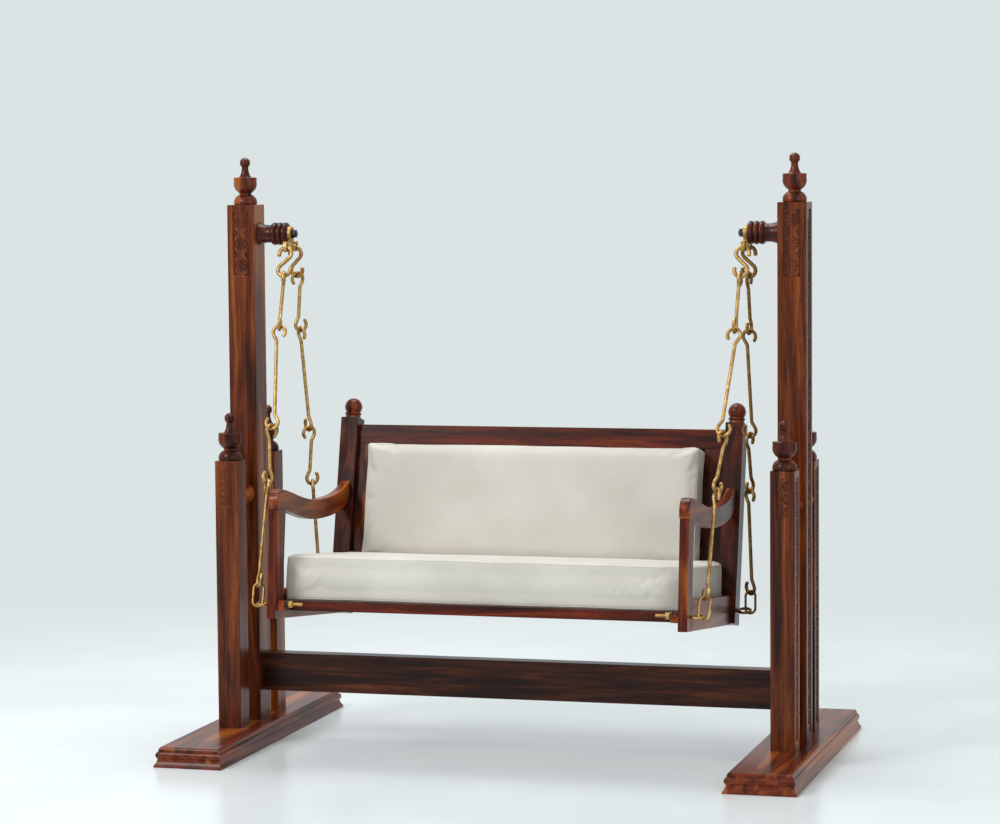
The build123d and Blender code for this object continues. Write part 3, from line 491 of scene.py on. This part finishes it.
# Hangers: cast brass, an eye that turns on the stud and a lobe before and behind it for the
# S-hooks. The casting is bored for the stud and the hooks, then tumbled until no edge is sharp.
hanger_width = 12
for side, hand in sides:
    bodies = []
    for radius, y, z in ((21, 0, pivot_height), (14, -lobe_y, lobe_height), (14, lobe_y, lobe_height)):
        bpy.ops.mesh.primitive_cylinder_add(vertices=48, radius=radius * mm, depth=hanger_width * mm,
                                            location=(hand * hanger_x * mm, y * mm, z * mm),
                                            rotation=(0, math.pi / 2, 0))
        bodies.append(bpy.context.object)
    # the neck under the eye, the bar below it and the raised ends over the lobes
    for length, y, low, high in ((26, 0, 1438, 1472), (80, 0, 1434, 1449), (21, -lobe_y, 1446, 1461),
                                 (21, lobe_y, 1446, 1461)):
        bpy.ops.mesh.primitive_cube_add(size=1,
                                        location=(hand * hanger_x * mm, y * mm, (low + high) / 2 * mm),
                                        scale=(hanger_width * mm, length * mm, (high - low) * mm))
        bodies.append(bpy.context.object)
    hanger = joined(side + "_hanger_cast", bodies)
    cast = hanger.modifiers.new("cast", "REMESH")
    cast.mode, cast.voxel_size = "VOXEL", 1.4 * mm
    bpy.ops.object.modifier_apply(modifier="cast")
    for radius, y, z in ((7.1, 0, pivot_height), (8, -lobe_y, lobe_height), (8, lobe_y, lobe_height)):
        bpy.ops.mesh.primitive_cylinder_add(vertices=48, radius=radius * mm, depth=20 * mm,
                                            location=(hand * hanger_x * mm, y * mm, z * mm),
                                            rotation=(0, math.pi / 2, 0))
        drill = bpy.context.object
        bored = hanger.modifiers.new("bored", "BOOLEAN")
        bored.operation, bored.object = "DIFFERENCE", drill
        take_up(hanger)
        bpy.ops.object.modifier_apply(modifier="bored")
        bpy.data.objects.remove(drill)
    tumbled = hanger.modifiers.new("tumbled", "SMOOTH")
    tumbled.factor, tumbled.iterations = 0.5, 5
    bpy.ops.object.modifier_apply(modifier="tumbled")
    bpy.ops.object.shade_smooth()
    hand_over(hanger, "swing", "brass", brass, side + "_hanger")


# Nuts, washers and studs: the eye bolts' nuts are brass. The washers, the pivots' nuts and the
# studs that the hangers turn on are turned steel, blackened in oil, which leaves them dull.
dressed("bolt_nuts", "swing", "brass", brass, 0.6)
black, tree, shader = new_finish("blackened_steel")
shader.inputs["Base Color"].default_value = plain_colour("#1B1A19")
shader.inputs["Roughness"].default_value = 0.42
for node, body, slot in (
    ("bolt_washers", "swing", "black_steel"), ("pivot_washers", "stand", "black_steel"),
    ("pivot_nuts", "stand", "black_steel"), ("left_pivot_stud", "stand", "steel"),
    ("right_pivot_stud", "stand", "steel"),
):
    dressed(node, body, slot, black, 0.5)


# Carving: a running vine between two beads down the outer face of each post, and a panel of rosettes
# or of crossed leaves at the head of the posts in front. It is cut with gouges, so its edges are
# soft, and it lies in sunk grounds, so none of it stands above the face around it.
def bud(size, spot, angle=0):
    """Cuts a bud or a petal: a flat ball of a width, length and height in mm, turned about Z."""
    bpy.ops.mesh.primitive_uv_sphere_add(segments=12, ring_count=8, radius=0.5,
                                         location=(spot[0] * mm, spot[1] * mm, 0),
                                         rotation=(0, 0, math.radians(angle)), scale=[s * mm for s in size])
    bpy.ops.object.shade_smooth()
    return bpy.context.object


def hoop(major, minor, spot=(0, 0), facets=36):
    """Cuts a ring about a spot: its radius and the radius of its bead in mm."""
    bpy.ops.mesh.primitive_torus_add(major_segments=facets, minor_segments=8, major_radius=major * mm,
                                     minor_radius=minor * mm, location=(spot[0] * mm, spot[1] * mm, 0))
    bpy.ops.object.shade_smooth()
    return bpy.context.object


def repeated(piece, count, pitch):
    """Repeats a piece along its Y at a pitch in mm, with its ends welded and the last ones closed."""
    take_up(piece)
    run = piece.modifiers.new("run", "ARRAY")
    run.count, run.use_relative_offset, run.use_constant_offset = count, False, True
    run.constant_offset_displace = (0, pitch * mm, 0)
    run.use_merge_vertices, run.merge_threshold = True, 0.0003
    bpy.ops.object.modifier_apply(modifier="run")
    bpy.ops.object.mode_set(mode="EDIT")
    bpy.ops.mesh.select_all(action="SELECT")
    bpy.ops.mesh.fill_holes(sides=0)
    bpy.ops.mesh.normals_make_consistent(inside=False)
    bpy.ops.object.mode_set(mode="OBJECT")
    return piece


carved_tones = ("#280F08", "#461B0D", "#5C2913", "#743A1B")
carved_wood = sheesham("lacquered_sheesham_carving", "z", 0.4, carved_tones, 0.7)

# The vines: a stem that waves across a wide band once each period, a leaf in each bend, a bud
# beside it, and a bead along each edge, half the width of the band from its middle
vines = {}
for kind, period, wide, length, edge in (("tall", 59, 12, 1472, 23.5), ("short", 39.5, 9.6, 737, 20.5)):
    chord = period / 2
    radius = chord**2 / (8 * wide) + wide / 2
    arc = 2 * math.degrees(math.asin(chord / 2 / radius))
    stem = wire("vine", 6.4, (0, 0), 90 - arc / 2, [(radius, arc), (radius, -arc)], closed=True, around=8)
    stem = joined("vine", [
        stem, bud((8, 12, 5), (-1.5, chord / 2), 24), bud((8, 12, 5), (1.5, chord * 1.5), -24),
        bud((6, 8, 5), (-edge + 8, chord / 2), -20), bud((6, 8, 5), (edge - 8, chord * 1.5), 20)])
    count = int(length // period)
    stem = repeated(stem, count, period)
    start = (length - count * period) / 2
    stem.location = (0, start * mm, 0)
    beads = [wire("bead", 4.4, (x, 0.5), 90, [length - 1], around=8) for x in (-edge, edge)]
    vines[kind] = joined("vine", [stem, *beads])
    vines[kind].data.transform(Matrix.Scale(0.92, 4, (0, 0, 1)))

# The rosettes: three in a row, each of two hoops, eight petals, a boss and four corner leaves
petal_reach = 11.6
hoops = [hoop(17, 1.5), hoop(6, 1.2)]
petals = []
for angle in range(0, 360, 45):
    spot = (-petal_reach * math.sin(math.radians(angle)), petal_reach * math.cos(math.radians(angle)))
    petals.append(bud((5.6, 10, 3.4), spot, angle))
leaves = [bud((5, 15, 3.4), (15.5 * x, 27 * y), 38 * x * y) for x in (-1, 1) for y in (-1, 1)]
rosette = joined("rosette", [*hoops, *petals, bud((7, 7, 3.6), (0, 0)), *leaves])
rosette.data.transform(Matrix.Translation((0, 31.5 * mm, 0)))
rosette = repeated(rosette, 3, 62.5)
uprights = [wire("bead", 2.6, (x, 0.5), 90, [186], around=8) for x in (-21.5, 21.5)]
rosette = joined("rosette", [rosette, *uprights, wire("bead", 3.2, (-22, -1.2), 0, [44], around=8)])

# The knots: three in a row, each of two crossed leaves, four scrolls, a boss and a bud above
crossing = [bud((4.4, 25, 3.4), (0, 0), angle) for angle in (-34, 34)]
scrolls = [hoop(4.6, 1.3, spot, 20) for spot in ((-8.4, 8), (8.4, 8), (-8.4, -8), (8.4, -8))]
knot = joined("knot", [*crossing, *scrolls, bud((8, 8, 3.8), (0, 0)), bud((5, 9, 3.4), (0, 18))])
knot.data.transform(Matrix.Translation((0, 17 * mm, 0)))
knot = repeated(knot, 3, 36)

# Where they are cut: on the outer faces from 76 mm up, and on the front faces near the posts' tops
vine_foot, tall_face, short_face = 76, 850, 843.5
rosette_face, rosette_foot = -44, 1361
knot_face, knot_foot = -192, 703
for side, hand in sides:
    for post, y, kind, face in (
        ("tall", 0, "tall", tall_face), ("front", -post_gap, "short", short_face),
        ("rear", post_gap, "short", short_face),
    ):
        foot = (hand * face, y, vine_foot)
        copy = copied(vines[kind], f"{side}_{post}_vine", placing(foot, (hand, 0, 0), (0, hand, 0)))
        hand_over(copy, "stand", "rosewood", carved_wood)
    foot = (hand * stand_x, rosette_face, rosette_foot)
    copy = copied(rosette, side + "_rosettes", placing(foot, (0, -1, 0), (1, 0, 0)))
    hand_over(copy, "stand", "rosewood", carved_wood)
    foot = (hand * stand_x, knot_face, knot_foot)
    copy = copied(knot, side + "_crossed_leaves", placing(foot, (0, -1, 0), (1, 0, 0)))
    hand_over(copy, "stand", "rosewood", carved_wood)
for piece in (*vines.values(), rosette, knot):
    bpy.data.objects.remove(piece)


# Seat frame and back in the same sheesham: front legs and S-curved arms shaped with a spokeshave,
# so their edges are well rounded, deep side rails, raked back posts with turned balls doweled on
# top, and a framed back. Each is cut from a board of its own, so the woods differ in tone. The boards
# of the back and seat, the back posts and the stiles are drawn darker still, which is painted shade.
leg_wood = sheesham("lacquered_sheesham_leg", "z", 4.1, ("#381008", "#541A0B", "#6A280F", "#803C17"), 0.66)
arm_wood = sheesham("lacquered_sheesham_arm", "y", 5.3, ("#40170B", "#6C2C13", "#883F1C", "#9E5226"), 0.58)
# the back's tones: its wood drawn darker with painted shade
back_wood_and_shade = sheesham("back_sheesham_and_painted_shade", "x", 6.2, ("#240C07", "#42150B", "#5A1E0E", "#783016"), 0.67)
# the back posts' and stiles' tones: their wood drawn darker still with painted shade
back_post_tones_and_shade = ("#220B07", "#3C140A", "#541F0E", "#6E3015")
back_post_wood_and_shade = sheesham("back_post_sheesham_and_painted_shade", "z", 7.4, back_post_tones_and_shade, 0.64)
ball_radius, ball_height = 26, 35.2
ball = turned("ball", [
    (25, 0), (25.8, 1), *swell((25.8, 1), (22, 9), -1), (21.2, 10.2),
    *swell((21.2, 10.4), (24.6, 14.4), 1, 4), *swell((24.6, 14.4), (20.8, 18.4), 1, 4), (20, 19),
    *[(ball_radius * math.cos(math.radians(a)), ball_height + ball_radius * math.sin(math.radians(a)))
      for a in range(-36, 89, 7)]])
# the way up the raked back, and the balls' feet in mm
back_up = (0, 0.232554, 0.972583)
ball_x, ball_y, ball_z = 587, 292.84, 921.23
for side, hand in sides:
    dressed(side + "_front_leg", "swing", "rosewood", leg_wood, 4, 3)
    dressed(side + "_arm", "swing", "rosewood", arm_wood, 5, 4)
    dressed(side + "_side_rail", "swing", "rosewood", arm_wood, 2)
    dressed(side + "_side_batten", "swing", "rosewood", arm_wood)
    dressed(side + "_back_post", "swing", "rosewood", back_post_wood_and_shade)
    copy = copied(ball, side + "_ball_turned", placing((hand * ball_x, ball_y, ball_z), back_up, (1, 0, 0)))
    hand_over(copy, "swing", "rosewood", turned_wood, side + "_ball_finial")
    dressed(side + "_stile", "swing", "rosewood", back_post_wood_and_shade)
bpy.data.objects.remove(ball)
for node in ("top_rail", "low_rail", "front_batten", "rear_batten", "slats", "back_panel"):
    dressed(node, "swing", "rosewood", back_wood_and_shade, 2)


# Cushions: two loose boxed cushions, foam in off-white cotton canvas, stitched along every edge of
# their two broad faces. The seat one lies flat on the slats, the other leans on the back.
def sewn(piece, axis, sign, size):
    """Lays a ridge of thread around one broad face of a cushion, 24 points to a side."""
    a, b = [i for i in range(3) if i != axis]
    corners = [Vector((-1, -1)), Vector((1, -1)), Vector((1, 1)), Vector((-1, 1))]
    path = []
    for turn in range(4):
        for step in range(24):
            flat_spot = corners[turn].lerp(corners[(turn + 1) % 4], step / 24)
            spot = [0, 0, 0]
            spot[axis], spot[a], spot[b] = sign * size[axis], flat_spot.x * size[a], flat_spot.y * size[b]
            start = Vector(spot) * mm / 2
            _, near, normal, _ = piece.closest_point_on_mesh(start * 1.02)
            path.append(near + normal * 0.0002)
    line = bpy.data.curves.new("seam", "CURVE")
    line.dimensions, line.bevel_depth, line.bevel_resolution = "3D", 1.1 * mm, 1
    spline = line.splines.new("POLY")
    spline.points.add(len(path) - 1)
    for point, near in zip(spline.points, path):
        point.co = (*near, 1)
    spline.use_cyclic_u = True
    thread = bpy.data.objects.new("seam", line)
    bpy.context.scene.collection.objects.link(thread)
    take_up(thread)
    bpy.ops.object.convert(target="MESH")
    bpy.ops.object.shade_smooth()
    return thread


def stuffed(node, matrix, size, cap, holds, seams):
    """Sews and stuffs a cushion. Its box in mm lies in the matrix's own axes. No point of its cloth
    moves more than the cap in mm; each hold is an axis, a sign and a distance in mm that keep the
    filled cloth off a neighbour; each seam is the axis and sign of the face that it goes round."""
    bpy.ops.mesh.primitive_cube_add(size=1)
    piece = bpy.context.object
    piece.name = node + "_cushion"
    piece.data.transform(Matrix.Diagonal((*[s * mm for s in size], 1)))
    eased = piece.modifiers.new("eased", "BEVEL")
    eased.width, eased.segments = 7 * mm, 3
    cut = piece.modifiers.new("cut", "REMESH")
    cut.mode, cut.voxel_size = "VOXEL", 0.006
    for name in ("eased", "cut"):
        bpy.ops.object.modifier_apply(modifier=name)
    flat = [vertex.co.copy() for vertex in piece.data.vertices]
    filling = piece.modifiers.new("filling", "CLOTH")
    filling.settings.use_pressure = True
    filling.settings.uniform_pressure_force = 4
    filling.settings.effector_weights.gravity = 0
    filling.settings.quality = 4
    for number in range(1, 21):
        bpy.context.scene.frame_set(number)
    bpy.ops.object.modifier_apply(modifier="filling")
    bpy.context.scene.frame_set(1)
    for vertex, before in zip(piece.data.vertices, flat):
        moved = vertex.co - before
        if moved.length > cap * mm:
            moved *= cap * mm / moved.length
        spot = before + moved
        # soft unevenness, 1.6 mm over 140 mm and 0.5 mm over 40 mm, within 20 mm of each face
        soft = noise.noise(spot * 7) * 1.6 + noise.noise(spot * 23) * 0.5
        spot += Vector([
            soft * mm * (abs(c) > s * mm / 2 - 0.02) * (1 if c > 0 else -1) for c, s in zip(spot, size)])
        for axis, sign, limit in holds:
            if sign * spot[axis] > limit * mm:
                spot[axis] = sign * limit * mm
        vertex.co = spot
    fine = piece.modifiers.new("fine", "SUBSURF")
    fine.levels = fine.render_levels = 1
    bpy.ops.object.modifier_apply(modifier="fine")
    bpy.ops.object.shade_smooth()
    threads = [sewn(piece, axis, sign, size) for axis, sign in seams]
    piece = joined(node + "_cushion", [piece, *threads])
    settle(piece, matrix)
    hand_over(piece, "swing", "canvas", canvas, node)
    return piece


canvas, tree, shader = new_finish("off_white_canvas")
place = add_node(tree, "TexCoord")
# threads drawn 1.6 mm apart so that they show, the second set turned about X to show on each face
warp = add_node(tree, "TexWave", {"bands_direction": "X"}, {
    "Vector": place.outputs["Object"], "Scale": 196.0, "Distortion": 0.6, "Detail": 1.0})
tilted = add_node(tree, "Mapping", {}, {0: place.outputs["Object"], "Rotation": (math.radians(45), 0, 0)})
weft = add_node(tree, "TexWave", {"bands_direction": "Y"}, {
    "Vector": tilted.outputs[0], "Scale": 260.0, "Distortion": 0.6, "Detail": 1.0})
weave = add_node(tree, "Math", {"operation": "MULTIPLY"}, {0: warp.outputs["Fac"], 1: weft.outputs["Fac"]})
cloud = add_node(tree, "TexNoise", {}, {"Vector": place.outputs["Object"], "Scale": 5.0, "Detail": 3.0})
tint = add_node(tree, "ValToRGB", {}, {"Fac": cloud.outputs["Fac"]}, [(0.35, "#C6C1B7"), (0.65, "#D0CCC3")])
relief = add_node(tree, "Bump", {}, {"Height": weave.outputs[0], "Strength": 0.18, "Distance": 0.0006})
tree.links.new(tint.outputs[0], shader.inputs["Base Color"])
tree.links.new(relief.outputs[0], shader.inputs["Normal"])
shader.inputs["Roughness"].default_value = 0.92
shader.inputs["Sheen Weight"].default_value = 0.15

# The seat slopes down to the rear from its front eyes, and the back rises from its rear eyes
seat_up, seat_rear = (0, 0.107956, 0.994156), (0, 0.994156, -0.107956)
back_rear = (0, 0.972583, -0.232554)
seat_start, back_start = Vector((0, *eyes["front"][1:3])), Vector((0, *eyes["rear"][1:3]))
seat_middle = seat_start + Vector(seat_rear) * 301 + Vector(seat_up) * 72.4
stuffed("seat_pad", placing(seat_middle, seat_up, (1, 0, 0)), (1152, 526, 126), 6,
        [(2, -1, 62), (0, 1, 573.4), (0, -1, 573.4), (1, 1, 262)], [(2, 1), (2, -1)])
back_middle = back_start - Vector(back_rear) * 58.9 + Vector(back_up) * 288
stuffed("back_pad", placing(back_middle, back_up, (1, 0, 0)), (1016, 90, 350), 9,
        [(1, 1, 46), (2, -1, 164), (2, 1, 180), (0, 1, 510), (0, -1, 510)], [(1, -1), (1, 1)])
